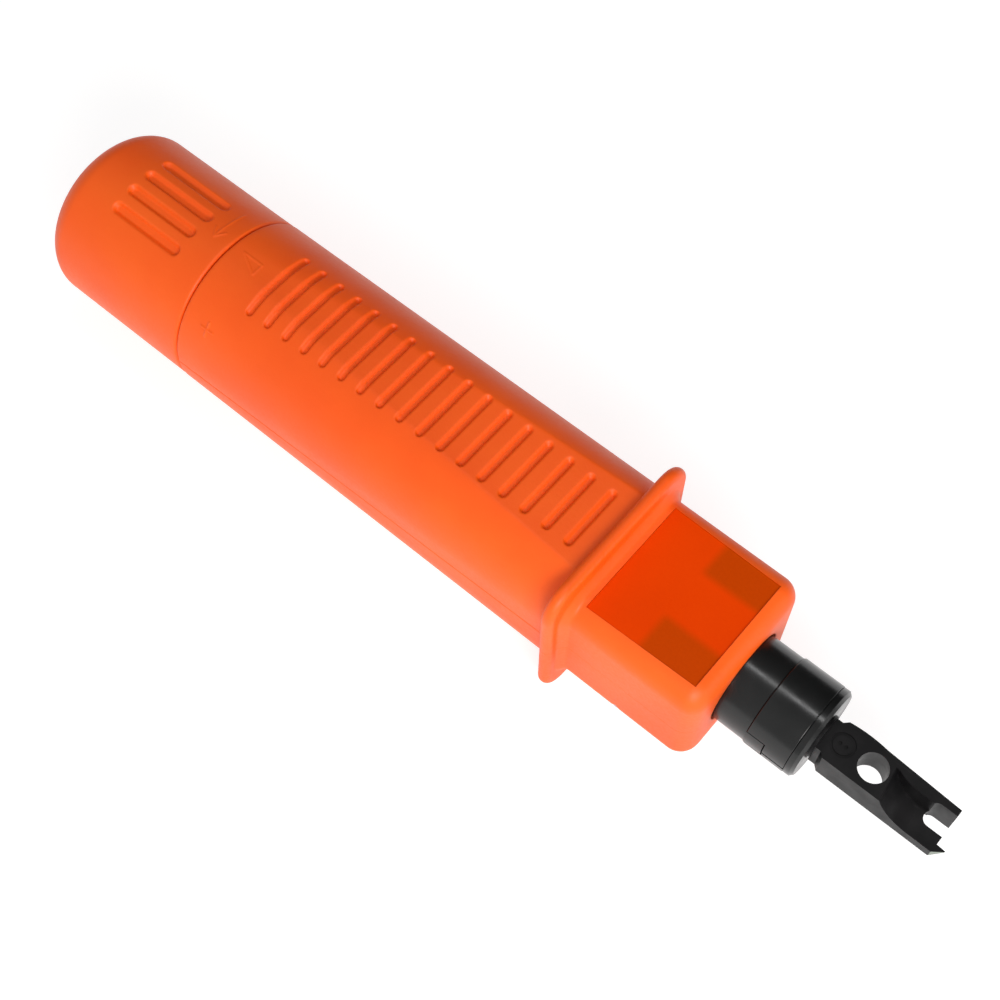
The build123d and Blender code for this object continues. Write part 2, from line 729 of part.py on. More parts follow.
def build_spring_seat():
    """Nut on the lead screw, kept from turning by its two flats."""
    with BuildPart() as seat:
        with BuildSketch(station(SEAT_REAR_X)):
            Circle(SEAT_RADIUS)
            Rectangle(2 * SEAT_FLAT, 2 * SEAT_RADIUS, mode=Mode.INTERSECT)
            Circle(THREAD_RADIUS + 0.05, mode=Mode.SUBTRACT)
        extrude(amount=SEAT_FACE_X - SEAT_REAR_X)
        add(tube(SEAT_FACE_X, SEAT_FACE_X + 2.0, 5.7, THREAD_RADIUS + 0.05))
    save(seat.part, "spring_seat")


# --- Springs -------------------------------------------------------------------------
def coil_spring(rear_x, front_x, radius, wire, turns):
    """A compression spring on the axis, its ends ground flat."""
    pitch = (front_x - rear_x) / turns
    with BuildPart() as spring:
        with BuildLine():
            path = Helix(pitch, front_x - rear_x, radius, center=(rear_x, 0, 0), direction=(1, 0, 0))
        with BuildSketch(Plane(origin=path @ 0, z_dir=path % 0)):
            Circle(wire)
        sweep(is_frenet=True)
        middle = (rear_x + front_x) / 2
        with Locations((middle, 0, 0)):
            Box(
                front_x - rear_x - 0.1,
                3 * (radius + wire),
                3 * (radius + wire),
                mode=Mode.INTERSECT,
            )
    return spring.part


def build_springs():
    impact = coil_spring(
        SEAT_FACE_X, HAMMER_REAR_X, IMPACT_SPRING_RADIUS, IMPACT_WIRE_RADIUS, IMPACT_TURNS
    )
    save(impact, "impact_spring")
    reset = coil_spring(
        HAMMER_FRONT_X, SPINDLE_REAR_X, RESET_SPRING_RADIUS, RESET_WIRE_RADIUS, RESET_TURNS
    )
    save(reset, "reset_spring")


def build_sear_spring():
    """The small spring under the sear, standing in the hammer's pocket."""
    floor_z = SPRING_POCKET_Z + 0.05
    height = SEAR_BOTTOM - 0.05 - floor_z
    with BuildPart() as spring:
        with BuildLine(Plane.XY.offset(floor_z + SEAR_WIRE_RADIUS)):
            path = Helix(SEAR_WIRE_PITCH, height - 2 * SEAR_WIRE_RADIUS, SEAR_SPRING_RADIUS)
        with BuildSketch(Plane(origin=path @ 0, z_dir=path % 0)):
            Circle(SEAR_WIRE_RADIUS)
        sweep(is_frenet=True)
    save(spring.part, "sear_spring")


# --- Firing train ----------------------------------------------------------------------
def build_hammer():
    with BuildPart() as hammer:
        add(tube(HAMMER_REAR_X, HAMMER_FRONT_X, HAMMER_RADIUS, PIN_RADIUS + PIN_GAP))
        add(tube(HAMMER_REAR_X - 2.0, HAMMER_REAR_X, 5.6, PIN_RADIUS + PIN_GAP))
        ends = hammer.edges().filter_by(GeomType.CIRCLE)
        chamfer(ends.filter_by(lambda edge: abs(edge.radius - HAMMER_RADIUS) < 0.01), 0.5)
        with BuildSketch(Plane.XY.offset(SEAR_POCKET_Z)):
            Rectangle(SEAR_THICKNESS + 0.1, 2 * SEAR_HALF_WIDTH + 0.1)
        extrude(amount=20, mode=Mode.SUBTRACT)
        with BuildSketch(Plane.XY.offset(SPRING_POCKET_Z)):
            Circle(SEAR_SPRING_RADIUS + 2 * SEAR_WIRE_RADIUS)
        extrude(amount=1.0, mode=Mode.SUBTRACT)
    save(hammer.part, "hammer")


def build_sear_plate():
    """Sliding sear: its hole is off the pin's line until the cam has pushed it down."""
    half = SEAR_THICKNESS / 2
    with BuildPart() as sear:
        with BuildSketch(station(-half)):
            with Locations((0, (SEAR_BOTTOM + SEAR_SHOULDER_Z) / 2)):
                Rectangle(2 * SEAR_HALF_WIDTH, SEAR_SHOULDER_Z - SEAR_BOTTOM)
            with Locations((0, SEAR_SHOULDER_Z + 2.5)):
                Rectangle(2 * SEAR_TONGUE_HALF - 0.3, 5.0)
            with Locations((0, SEAR_LIFT)):
                Circle(PIN_RADIUS + 0.25, mode=Mode.SUBTRACT)
        extrude(amount=SEAR_THICKNESS)
        with BuildSketch(Plane.XZ) as above_slope:
            with BuildLine():
                Polyline(
                    (-half - 1, SEAR_TOP - RAMP_SLOPE * (half + 1)),
                    (half + 1, SEAR_TOP + RAMP_SLOPE * (half + 1)),
                    (half + 1, 15),
                    (-half - 1, 15),
                    close=True,
                )
            make_face()
        extrude(above_slope.sketch, amount=6, both=True, mode=Mode.SUBTRACT)
    save(sear.part, "sear_plate")


def build_striker_pin():
    with BuildPart() as pin:
        add(tube(SEAR_THICKNESS / 2 + 0.05, SPINDLE_REAR_X + PIN_SOCKET_DEPTH, PIN_RADIUS))
        chamfer(pin.faces().sort_by(Axis.X)[0].edges(), 0.3)
    save(pin.part, "striker_pin")


# --- Blade holder ----------------------------------------------------------------------
def build_spindle():
    """The plunger: shoulder, long journal, collar seat, key and blade socket."""
    with BuildPart() as spindle:
        add(tube(SPINDLE_REAR_X, SHOULDER_FRONT_X, HAMMER_RADIUS))
        add(tube(SHOULDER_FRONT_X, COLLAR_REAR_X - 0.1, SPINDLE_RADIUS))
        add(tube(COLLAR_REAR_X - 0.1, COLLAR_FRONT_X + 0.1, COLLAR_BORE - 0.05))
        with BuildSketch(station(COLLAR_REAR_X - 0.1)):
            with Locations((-7.0, 0)):
                Rectangle(*SPINDLE_KEY)
            Circle(COLLAR_RADIUS - 0.03, mode=Mode.INTERSECT)
        extrude(amount=SPINDLE_KEY_LENGTH)
        add(tube(SPINDLE_REAR_X, SPINDLE_REAR_X + PIN_SOCKET_DEPTH, PIN_RADIUS), mode=Mode.SUBTRACT)
        add(tube(TANG_REAR_X - 1.0, LUG_REAR_X + 0.6, TANG_BORE), mode=Mode.SUBTRACT)
        add(tube(RING_REAR_X, RING_REAR_X + 1.2, TANG_BORE + 0.9), mode=Mode.SUBTRACT)
        add(tube(LUG_REAR_X, CAP_LIP_X, LUG_RADIUS + 0.1), mode=Mode.SUBTRACT)
        add(tube(CAP_LIP_X, COLLAR_FRONT_X + 0.5, CAP_LIP_RADIUS), mode=Mode.SUBTRACT)
        with BuildSketch(Plane.XY.offset(-HAMMER_RADIUS - 1)):
            with Locations((KEY_PIN_X, 0)):
                Circle(KEY_PIN_RADIUS)
        extrude(amount=HAMMER_RADIUS + 1 + KEY_PIN_INNER_Z, mode=Mode.SUBTRACT)
    save(spindle.part, "spindle")


def build_spindle_key_pin():
    """Cross pin that rides in the sleeve's slot and stops the spindle turning."""
    with BuildPart() as pin:
        with BuildSketch(Plane.XY.offset(-MECHANISM_RADIUS + 0.1)):
            with Locations((KEY_PIN_X, 0)):
                Circle(KEY_PIN_RADIUS)
        extrude(amount=MECHANISM_RADIUS - 0.1 + KEY_PIN_INNER_Z)
    save(pin.part, "spindle_key_pin")


def build_lock_collar():
    """Split collar with a window for the spindle's key."""
    with BuildPart() as collar:
        add(tube(COLLAR_REAR_X, COLLAR_FRONT_X, COLLAR_RADIUS, COLLAR_BORE))
        outer = collar.edges().filter_by(GeomType.CIRCLE)
        fillet(outer.filter_by(lambda edge: abs(edge.radius - COLLAR_RADIUS) < 0.01), 0.15)
        with Locations((COLLAR_REAR_X + COLLAR_WINDOW[0] / 2, -7.2, 0)):
            Box(COLLAR_WINDOW[0], 2.4, COLLAR_WINDOW[1], mode=Mode.SUBTRACT)
        with Locations(((COLLAR_REAR_X + COLLAR_FRONT_X) / 2 + 1.6, -7.2, -0.5)):
            Box(COLLAR_SLIT[0], 2.4, COLLAR_SLIT[1], mode=Mode.SUBTRACT)
    save(collar.part, "lock_collar")


def build_socket_cap():
    """Front ring of the holder, slotted so that the blade's lugs can pass."""
    with BuildPart() as cap:
        add(tube(CAP_LIP_X, CAP_FACE_X, CAP_LIP_RADIUS))
        add(tube(CAP_FACE_X, HOLDER_FRONT_X, COLLAR_RADIUS - 0.07))
        chamfer(cap.faces().sort_by(Axis.X)[-1].edges(), 0.5)
        with BuildSketch(station(CAP_LIP_X)):
            Circle(TANG_BORE)
            Rectangle(LUG_WIDTH + 0.3, 2 * LUG_RADIUS)
        extrude(amount=4.0, mode=Mode.SUBTRACT)
    save(cap.part, "socket_cap")


def build_blade_retaining_ring():
    """Open wire ring in the socket, which grips the blade's tang."""
    with BuildPart() as ring:
        with BuildSketch(station(RING_REAR_X + 0.1)):
            Circle(TANG_BORE + 0.8)
            Circle(TANG_RADIUS + 0.02, mode=Mode.SUBTRACT)
            with Locations((0, -4)):
                Rectangle(2.0, 4.0, mode=Mode.SUBTRACT)
        extrude(amount=1.0)
    save(ring.part, "blade_retaining_ring")


# --- Blade -------------------------------------------------------------------------------
def blade_outline():
    """Plan view of the blade from its neck to the fork's prong and the cutter."""
    Line((NECK_REAR_X, NECK_HALF_WIDTH), (BLADE_SHOULDER_X - SHOULDER_SLOPE, NECK_HALF_WIDTH))
    Line((BLADE_SHOULDER_X - SHOULDER_SLOPE, NECK_HALF_WIDTH), (BLADE_SHOULDER_X, BLADE_HALF_WIDTH))
    ThreePointArc(
        (BLADE_SHOULDER_X, BLADE_HALF_WIDTH),
        (BLADE_HOLE_X - 3.8, BLADE_BULGE),
        (BLADE_HOLE_X + 0.1, BLADE_HALF_WIDTH),
    )
    Polyline(
        (BLADE_HOLE_X + 0.1, BLADE_HALF_WIDTH),
        (PRONG_TIP_X, PRONG_HALF_WIDTH),
        (PRONG_TIP_X, CUTTER_INNER_Y),
        (TIP_X, CUTTER_INNER_Y - 0.1),
        (TIP_X, CUTTER_INNER_Y - 0.25),
        (PRONG_TIP_X - 0.1, -BLADE_HALF_WIDTH),
        (BLADE_SHOULDER_X, -BLADE_HALF_WIDTH),
        (BLADE_SHOULDER_X - SHOULDER_SLOPE, -NECK_HALF_WIDTH),
        (NECK_REAR_X, -NECK_HALF_WIDTH),
        (NECK_REAR_X, NECK_HALF_WIDTH),
    )


def channel_cutter():
    """The channel in front of the hole: a curved ramp down to a floor, open on the cutter's side."""
    start_x = BLADE_HOLE_X + BLADE_HOLE_RADIUS + 0.45
    skew = radians(CHANNEL_SKEW)
    ramp_plane = Plane(
        origin=(start_x, 0, 0),
        x_dir=(cos(skew), sin(skew), 0),
        z_dir=(sin(skew), -cos(skew), 0),
    )
    with BuildPart() as channel:
        with BuildSketch(ramp_plane):
            with BuildLine():
                ThreePointArc(
                    (0, BLADE_TOP + 0.05),
                    (RAMP_LENGTH * 0.436, CHANNEL_FLOOR + 0.92),
                    (RAMP_LENGTH, CHANNEL_FLOOR),
                )
                Polyline(
                    (RAMP_LENGTH, CHANNEL_FLOOR),
                    (RAMP_LENGTH + 12, CHANNEL_FLOOR),
                    (RAMP_LENGTH + 12, BLADE_TOP + 0.05),
                    (0, BLADE_TOP + 0.05),
                )
            make_face()
        extrude(amount=6.0, both=True)
        with BuildSketch(Plane.XY.offset(CHANNEL_FLOOR)):
            with BuildLine():
                Polyline(
                    (start_x - 2, -6),
                    (start_x - 2, CHANNEL_WALL_Y + 0.9),
                    (start_x + 0.3, CHANNEL_WALL_Y + 0.85),
                )
                ThreePointArc(
                    (start_x + 0.3, CHANNEL_WALL_Y + 0.85),
                    (start_x + 1.9, CHANNEL_WALL_Y + 0.25),
                    (start_x + 4.2, CHANNEL_WALL_Y),
                )
                Polyline(
                    (start_x + 4.2, CHANNEL_WALL_Y),
                    (TIP_X + 1, CHANNEL_WALL_Y),
                    (TIP_X + 1, -6),
                    (start_x - 2, -6),
                )
            make_face()
        extrude(amount=BLADE_TOP + 1 - CHANNEL_FLOOR, mode=Mode.INTERSECT)
    return channel.part


def underside_cutter():
    """A shallow relief under the fork, which leaves a thin floor between its prongs."""
    with BuildPart() as relief:
        with BuildSketch(Plane.XZ.offset(-CHANNEL_WALL_Y)):
            with BuildLine():
                Polyline(
                    (BLADE_HOLE_X + 5.5, BLADE_BOTTOM - 0.1),
                    (BLADE_HOLE_X + 7.5, FORK_UNDERSIDE),
                    (TIP_X + 1, FORK_UNDERSIDE),
                    (TIP_X + 1, BLADE_BOTTOM - 0.1),
                    close=True,
                )
            make_face()
        extrude(amount=CHANNEL_WALL_Y - CUTTER_INNER_Y)
    return relief.part


def tip_cutter():
    """The ground underside of the cutter, which rises to its point."""
    with BuildPart() as bevel:
        with BuildSketch(Plane.XZ.offset(1.0)):
            with BuildLine():
                Polyline(
                    (TIP_X + 0.01, CHANNEL_FLOOR - 0.2),
                    (TIP_X + 0.01, BLADE_BOTTOM - 0.1),
                    (PRONG_TIP_X - 0.3, BLADE_BOTTOM - 0.1),
                    close=True,
                )
            make_face()
        extrude(amount=4.0)
    return bevel.part


def maker_mark():
    """A plain stamped ring with two dots, between the shoulders and the hole."""
    with BuildPart() as mark:
        with BuildSketch(Plane.XY.offset(BLADE_TOP - MARK_DEPTH)):
            with Locations((MARK_X, 0)):
                Circle(MARK_RADIUS)
                Circle(MARK_RADIUS - 0.45, mode=Mode.SUBTRACT)
            with Locations((MARK_X - 0.5, 0), (MARK_X + 0.5, 0)):
                Circle(0.3)
        extrude(amount=1.0)
    return mark.part


def build_blade():
    thickness = BLADE_TOP - BLADE_BOTTOM
    with BuildPart() as blade:
        with BuildSketch(Plane.XY.offset(BLADE_BOTTOM)):
            with BuildLine():
                blade_outline()
            make_face()
        extrude(amount=thickness)
        add(tube(TANG_REAR_X, NECK_REAR_X + 0.2, TANG_RADIUS))
        with BuildSketch(station(LUG_REAR_X + 0.5)):
            Rectangle(2 * LUG_RADIUS, LUG_WIDTH)
            Circle(LUG_RADIUS, mode=Mode.INTERSECT)
        extrude(amount=LUG_LENGTH)
        with BuildSketch(Plane.XY.offset(BLADE_BOTTOM)):
            with Locations((BLADE_HOLE_X, 0)):
                Circle(BLADE_HOLE_RADIUS)
        extrude(amount=thickness, mode=Mode.SUBTRACT)
        add(channel_cutter(), mode=Mode.SUBTRACT)
        add(underside_cutter(), mode=Mode.SUBTRACT)
        with BuildSketch(Plane.XY.offset(BLADE_BOTTOM)):
            with Locations(((SLOT_REAR_X + TIP_X + 3) / 2, (SLOT_FAR_Y + SLOT_NEAR_Y) / 2)):
                SlotOverall(TIP_X + 3 - SLOT_REAR_X, SLOT_FAR_Y - SLOT_NEAR_Y)
        extrude(amount=thickness, mode=Mode.SUBTRACT)
        add(tip_cutter(), mode=Mode.SUBTRACT)
        add(maker_mark(), mode=Mode.SUBTRACT)
    save(blade.part, "blade")


build_housing()
build_housing_screws()
build_nose_label()
build_trip_cam()
build_hammer_sleeve()
build_nose_bushing()
build_front_bumper()
build_adjuster_knob()
build_adjuster_screw()
build_thrust_washer()
build_screw_clip()
build_knob_drag_ring()
build_spring_seat()
build_springs()
build_sear_spring()
build_hammer()
build_sear_plate()
build_striker_pin()
build_spindle()
build_spindle_key_pin()
build_lock_collar()
build_socket_cap()
build_blade_retaining_ring()
build_blade()
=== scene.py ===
"""Looks for the adjustable impact punch down tool.

The orange mouldings are built here as smooth closed shells around the CAD's own
dimensions; every other part keeps its CAD mesh and gets a material.
Everything is laid out in millimetres and scaled to metres when a mesh is made.
"""
import json
from math import cos, pi, radians, sin

import bmesh
import bpy
import numpy as np
from mathutils import Matrix, Vector
from mathutils.geometry import tessellate_polygon


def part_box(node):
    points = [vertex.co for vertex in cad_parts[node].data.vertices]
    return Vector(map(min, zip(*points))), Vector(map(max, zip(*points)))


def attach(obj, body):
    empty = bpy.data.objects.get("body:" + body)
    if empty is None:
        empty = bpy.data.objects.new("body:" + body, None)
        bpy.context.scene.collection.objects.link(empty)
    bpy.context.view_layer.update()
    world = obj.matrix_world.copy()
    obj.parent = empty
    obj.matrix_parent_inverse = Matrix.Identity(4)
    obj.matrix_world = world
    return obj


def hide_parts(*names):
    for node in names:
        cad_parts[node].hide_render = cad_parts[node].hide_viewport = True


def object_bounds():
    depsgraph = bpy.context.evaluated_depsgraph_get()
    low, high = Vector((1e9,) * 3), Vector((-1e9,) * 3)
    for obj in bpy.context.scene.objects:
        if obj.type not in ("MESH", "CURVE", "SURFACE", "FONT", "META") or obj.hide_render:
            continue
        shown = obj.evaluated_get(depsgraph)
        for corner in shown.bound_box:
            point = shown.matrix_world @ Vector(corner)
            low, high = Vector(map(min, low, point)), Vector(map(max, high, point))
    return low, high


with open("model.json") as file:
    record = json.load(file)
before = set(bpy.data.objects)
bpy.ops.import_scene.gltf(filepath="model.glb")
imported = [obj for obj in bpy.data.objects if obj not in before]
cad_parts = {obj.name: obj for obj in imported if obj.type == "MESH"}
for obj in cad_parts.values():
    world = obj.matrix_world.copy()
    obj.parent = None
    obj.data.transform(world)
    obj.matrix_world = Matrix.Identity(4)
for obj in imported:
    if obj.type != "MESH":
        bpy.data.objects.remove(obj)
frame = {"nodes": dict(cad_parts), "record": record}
cad_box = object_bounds()
MM = 0.001


def node_box(node):
    """A CAD node's lowest and highest corners in millimetres."""
    low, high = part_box(node)
    return np.array(low) / MM, np.array(high) / MM


# --- Sizes, from the CAD boxes and the part's own proportions -------------------
shell_low, shell_high = node_box("housing_upper")
knob_low, knob_high = node_box("adjuster_knob")
label_low, label_high = node_box("nose_label")
screws_low, screws_high = node_box("housing_screws")
SPIGOT_REAR = shell_low[0]
NOSE_X = shell_high[0]
BUTT_X = knob_low[0]
KNOB_FRONT = knob_high[0]
SEAM_X = KNOB_FRONT + 0.3
GRIP_R = 15.0
GUARD_X = SEAM_X + 77.55
GUARD_T = 2.2
GUARD_W, GUARD_H, GUARD_R = shell_high[1], GRIP_R, 5.0
GUARD_EDGE = 1.05
FRONT_W, FRONT_H, FRONT_R = 13.9, 14.3, 10.0
REAR_R = 14.85
PANEL_H = 13.44
NOSE_W, NOSE_H, NOSE_R, NOSE_EDGE = 13.1, 11.2, 4.0, 3.2
WALL = 2.6
BORE_R = 7.75
MECHANISM_R = 9.2
CHAMBER_R = 8.8
BULKHEADS = (-47.0, -34.0, -17.0, 9.5, 19.0)
SCREW_Y = 11.0
SCREW_XS = (-42.0, 9.5, 37.0)
SCREW_POCKET_R = 2.1
BOSS_R = 3.1
BOSS_Y = 7.9
RAIL_Y = 7.7
RAIL_FRONT = SEAM_X + 18
SPIGOT_R = 12.3
SPIGOT_EDGE = 0.3
RING_GROOVE_X = SPIGOT_REAR + 1.6
RING_GROOVE_FRONT = RING_GROOVE_X + 1.7
RING_GROOVE_DEPTH = 0.9
SCREW_BORE_R = 5.05
GROOVE_COUNT = 17
GROOVE_REAR_HALF = 6.94
GROOVE_FRONT_HALF = 5.78
GROOVE_HALF_WIDTH = 0.75
GROOVE_SINK = 0.62
GROOVES = [SEAM_X + 10.1 + 3.74 * i + 0.011 * i * i for i in range(GROOVE_COUNT)]
GROOVE_HALVES = np.linspace(GROOVE_REAR_HALF, GROOVE_FRONT_HALF, GROOVE_COUNT)
MARK_TILT = radians(49.5)  # round from the top to the plus mark
SHARP = radians(38)


# --- Sections -------------------------------------------------------------------
def rounded_rectangle(phi, half_w, half_h, corner):
    """Distance from the axis to a rounded rectangle along each direction phi."""
    corner = max(corner, 0.05)
    c, s = np.abs(np.cos(phi)) + 1e-9, np.abs(np.sin(phi)) + 1e-9
    side, top = half_w / c, half_h / s
    cx, cy = half_w - corner, half_h - corner
    along = c * cx + s * cy
    inside = np.maximum(along**2 - (cx**2 + cy**2 - corner**2), 0)
    arc = along + np.sqrt(inside)
    radius = np.where(side * s <= cy, side, np.where(top * c <= cx, top, arc))
    return radius


def soft_min(a, b, k):
    """The smaller of two fields, with the crease between them rounded off."""
    h = np.clip(0.5 + 0.5 * (b - a) / k, 0, 1)
    return b + (a - b) * h - k * h * (1 - h)


def grip(phi, x, inset=0.0):
    """The grip's section: a round rear end that grows square, with planed flats."""
    t = (x - SEAM_X) / (GUARD_X - SEAM_X)
    half_w = GRIP_R + t * (FRONT_W - GRIP_R) - inset
    half_h = GRIP_R + t * (FRONT_H - GRIP_R) - inset
    corner = REAR_R + t * (FRONT_R - REAR_R) - inset
    flat = GRIP_R + t * (PANEL_H - GRIP_R) - inset
    round_part = rounded_rectangle(phi, half_w, half_h, corner)
    return soft_min(round_part, flat / (np.abs(np.sin(phi)) + 1e-9), 0.1)


def nose(phi, inset=0.0):
    return rounded_rectangle(phi, NOSE_W - inset, NOSE_H - inset, max(NOSE_R - inset, 0.8))


def guard(phi, inset=0.0):
    return rounded_rectangle(phi, GUARD_W - inset, GUARD_H - inset, GUARD_R - inset)


def ease(t):
    t = np.clip(t, 0, 1)
    return t * t * (3 - 2 * t)


def slot_field(u, v, half_length, half_width):
    """Distance from the middle line of a slot that runs along u."""
    over = np.maximum(np.abs(u) - (half_length - half_width), 0)
    return np.hypot(over, v)


def stroke_field(px, py, ax, ay, bx, by):
    """Distance from points to the straight stroke a-b."""
    dx, dy = bx - ax, by - ay
    t = np.clip(((px - ax) * dx + (py - ay) * dy) / (dx * dx + dy * dy), 0, 1)
    return np.hypot(px - ax - t * dx, py - ay - t * dy)


def raised(distance, half_width, height):
    """Height of a low moulded line, with soft sides, at a distance from its middle."""
    return height * ease((half_width + 0.08 - distance) / 0.16)


# --- Shell builder ----------------------------------------------------------------
def degrees_list(*spans):
    """Angles in radians; each span is (from, to, step) in degrees."""
    out = []
    for start, end, step in spans:
        count = max(int(round((end - start) / step)), 1)
        out += [start + (end - start) * i / count for i in range(count)]
    out.append(spans[-1][1])
    return np.radians(np.array(out))


def ring(x, phi, radius):
    """One cross section of a shell, as points."""
    radius = np.broadcast_to(radius, phi.shape)
    return np.stack([np.broadcast_to(x, phi.shape), radius * np.cos(phi), radius * np.sin(phi)], axis=1)


def new_piece(name, verts, faces):
    """A cleaned, smooth-shaded piece from points in millimetres."""
    mesh = bpy.data.meshes.new(name)
    mesh.from_pydata([tuple(v) for v in np.asarray(verts) * MM], [], faces)
    bm = bmesh.new()
    bm.from_mesh(mesh)
    bmesh.ops.remove_doubles(bm, verts=bm.verts, dist=1e-7)
    bmesh.ops.dissolve_degenerate(bm, edges=bm.edges, dist=1e-8)
    bmesh.ops.recalc_face_normals(bm, faces=bm.faces)
    bm.to_mesh(mesh)
    bm.free()
    mesh.shade_smooth()
    mesh.set_sharp_from_angle(angle=SHARP)
    piece = bpy.data.objects.new(name, mesh)
    bpy.context.scene.collection.objects.link(piece)
    return piece


def loft(rings, closed_round, closed_along):
    """Vertices and quads through equal rings of points."""
    count = len(rings[0])
    verts = np.concatenate(rings)
    faces = []
    rows = len(rings) if closed_along else len(rings) - 1
    cols = count if closed_round else count - 1
    for i in range(rows):
        a, b = i * count, ((i + 1) % len(rings)) * count
        for j in range(cols):
            k = (j + 1) % count
            faces.append((a + j, a + k, b + k, b + j))
    return verts, faces


def end_cap(rings, column):
    """Triangles that close a half shell along one of its straight edges."""
    count = len(rings[0])
    index = [i * count + column for i in range(len(rings))]
    outline = [Vector((r[column][0], r[column][1], 0.0)) for r in rings]
    return [tuple(index[k] for k in tri) for tri in tessellate_polygon([outline])]


# --- Housing shells ------------------------------------------------------------
def grip_detail(points, x):
    """Moulded detail of the grip: cross grooves and the raised marks."""
    y, z = points[:, 1].copy(), points[:, 2].copy()
    sink = np.zeros_like(y)
    for gx, half in zip(GROOVES, GROOVE_HALVES):
        if abs(x - gx) < 1.2:
            d = slot_field(y, np.full_like(y, x - gx), half, GROOVE_HALF_WIDTH)
            sink = np.maximum(sink, GROOVE_SINK * ease((GROOVE_HALF_WIDTH + 0.11 - d) / 0.62))
    points[:, 2] -= np.sign(z) * sink
    mark_x = x - SEAM_X
    if 1.2 < mark_x < 7.3:
        top = z > 0
        px = np.full_like(y, mark_x)
        lines = ((2.2, 0.7, 6.2, 0.7), (6.2, 0.7, 6.2, -1.5), (6.2, -1.5, 2.2, 0.7))
        near_triangle = np.min([stroke_field(px, y, *line) for line in lines], axis=0)
        lift = raised(near_triangle, 0.14, 0.08) * top
        around = (np.arctan2(-y, z) - MARK_TILT) * GRIP_R
        plus = np.minimum(
            stroke_field(px, around, 3.9, 0.0, 6.3, 0.0),
            stroke_field(px, around, 5.1, -1.2, 5.1, 1.2),
        )
        lift = np.maximum(lift, raised(plus, 0.17, 0.16) * top)
        length = np.hypot(y, z)
        points[:, 1] += lift * y / length
        points[:, 2] += lift * z / length
    return points


def part_the_edge(points):
    """Rounds the outer skin over at the parting plane, more finely on guard and nose."""
    depth = np.where(points[:, 0] < GUARD_X - GUARD_T, 0.2, 0.03)
    near = np.clip(1 - np.abs(points[:, 2]) / (1.3 * depth), 0, 1)
    points[:, 1] -= np.sign(points[:, 1]) * depth * (1 - np.sqrt(1 - near**2))
    return points


def housing_stations():
    """X positions along the grip, close together where there is detail."""
    xs = [SEAM_X + 0.3, SEAM_X + 0.8, SEAM_X + 1.3]
    xs += list(SEAM_X + np.arange(1.6, 7.2, 0.16))
    across = [-1.1, *np.linspace(-0.9, 0.9, 13), 1.1]
    for gx in GROOVES:
        xs += [gx + d for d in across]
    xs += [GUARD_X - 2.9, GUARD_X - 2.2]
    return sorted(set(np.round(xs, 4)))


def outer_rings(phi):
    """The housing's outside from the spigot's rear face to the nose bore."""
    rear, front = GUARD_X - GUARD_T / 2, GUARD_X + GUARD_T / 2
    groove_r = SPIGOT_R - RING_GROOVE_DEPTH
    spigot = (
        (SPIGOT_REAR, SCREW_BORE_R),
        (SPIGOT_REAR, SPIGOT_R - SPIGOT_EDGE),
        (SPIGOT_REAR + SPIGOT_EDGE, SPIGOT_R),
        (RING_GROOVE_X, SPIGOT_R),
        (RING_GROOVE_X, groove_r),
        (RING_GROOVE_FRONT, groove_r),
        (RING_GROOVE_FRONT, SPIGOT_R),
        (SEAM_X, SPIGOT_R),
    )
    r = [ring(x, phi, radius) for x, radius in spigot]
    skin = []
    for a in np.linspace(0, pi / 2, 5):
        skin.append(ring(SEAM_X + 0.3 * (1 - cos(a)), phi, grip(phi, SEAM_X, 0.3 * (1 - sin(a)))))
    for x in housing_stations()[1:]:
        skin.append(grip_detail(ring(x, phi, grip(phi, x)), x))
    for a in np.linspace(0, pi / 2, 5):
        x = rear - 0.3 * (1 - sin(a))
        skin.append(ring(x, phi, grip(phi, x, -0.3 * (1 - cos(a)))))
    inner, outer = grip(phi, rear, -0.3), guard(phi, GUARD_EDGE)
    for t in (0.35, 0.7):
        skin.append(ring(rear, phi, inner + t * (outer - inner)))
    for a in np.linspace(0, pi / 2, 8):
        skin.append(ring(rear + GUARD_EDGE * (1 - cos(a)), phi, guard(phi, GUARD_EDGE * (1 - sin(a)))))
    for a in np.linspace(pi / 2, 0, 8):
        skin.append(ring(front - GUARD_EDGE * (1 - cos(a)), phi, guard(phi, GUARD_EDGE * (1 - sin(a)))))
    root, face = nose(phi, -1.42), guard(phi, GUARD_EDGE)
    for t in (0.35, 0.7, 1.0):
        skin.append(ring(front, phi, face + t * (root - face)))
    root_slope = ((0.05, 1.24), (0.15, 1.06), (0.95, 0.22), (1.1, 0.1), (1.3, 0.03), (1.6, 0.0), (4.0, 0.0))
    for dx, out in root_slope:
        skin.append(ring(front + dx, phi, nose(phi, -out)))
    for x in np.linspace(front + 7, NOSE_X - NOSE_EDGE, 5):
        skin.append(ring(x, phi, nose(phi)))
    for a in np.linspace(0, pi / 2, 13)[1:]:
        skin.append(ring(NOSE_X - NOSE_EDGE * (1 - sin(a)), phi, nose(phi, NOSE_EDGE * (1 - cos(a)))))
    r += [part_the_edge(points) for points in skin]
    edge = nose(phi, NOSE_EDGE)
    r.append(ring(NOSE_X, phi, edge + 0.6 * (BORE_R + 0.15 - edge)))
    for dx, out in ((0.0, 0.15), (0.05, 0.05), (0.15, 0.0)):
        r.append(ring(NOSE_X - dx, phi, BORE_R + out))
    return r


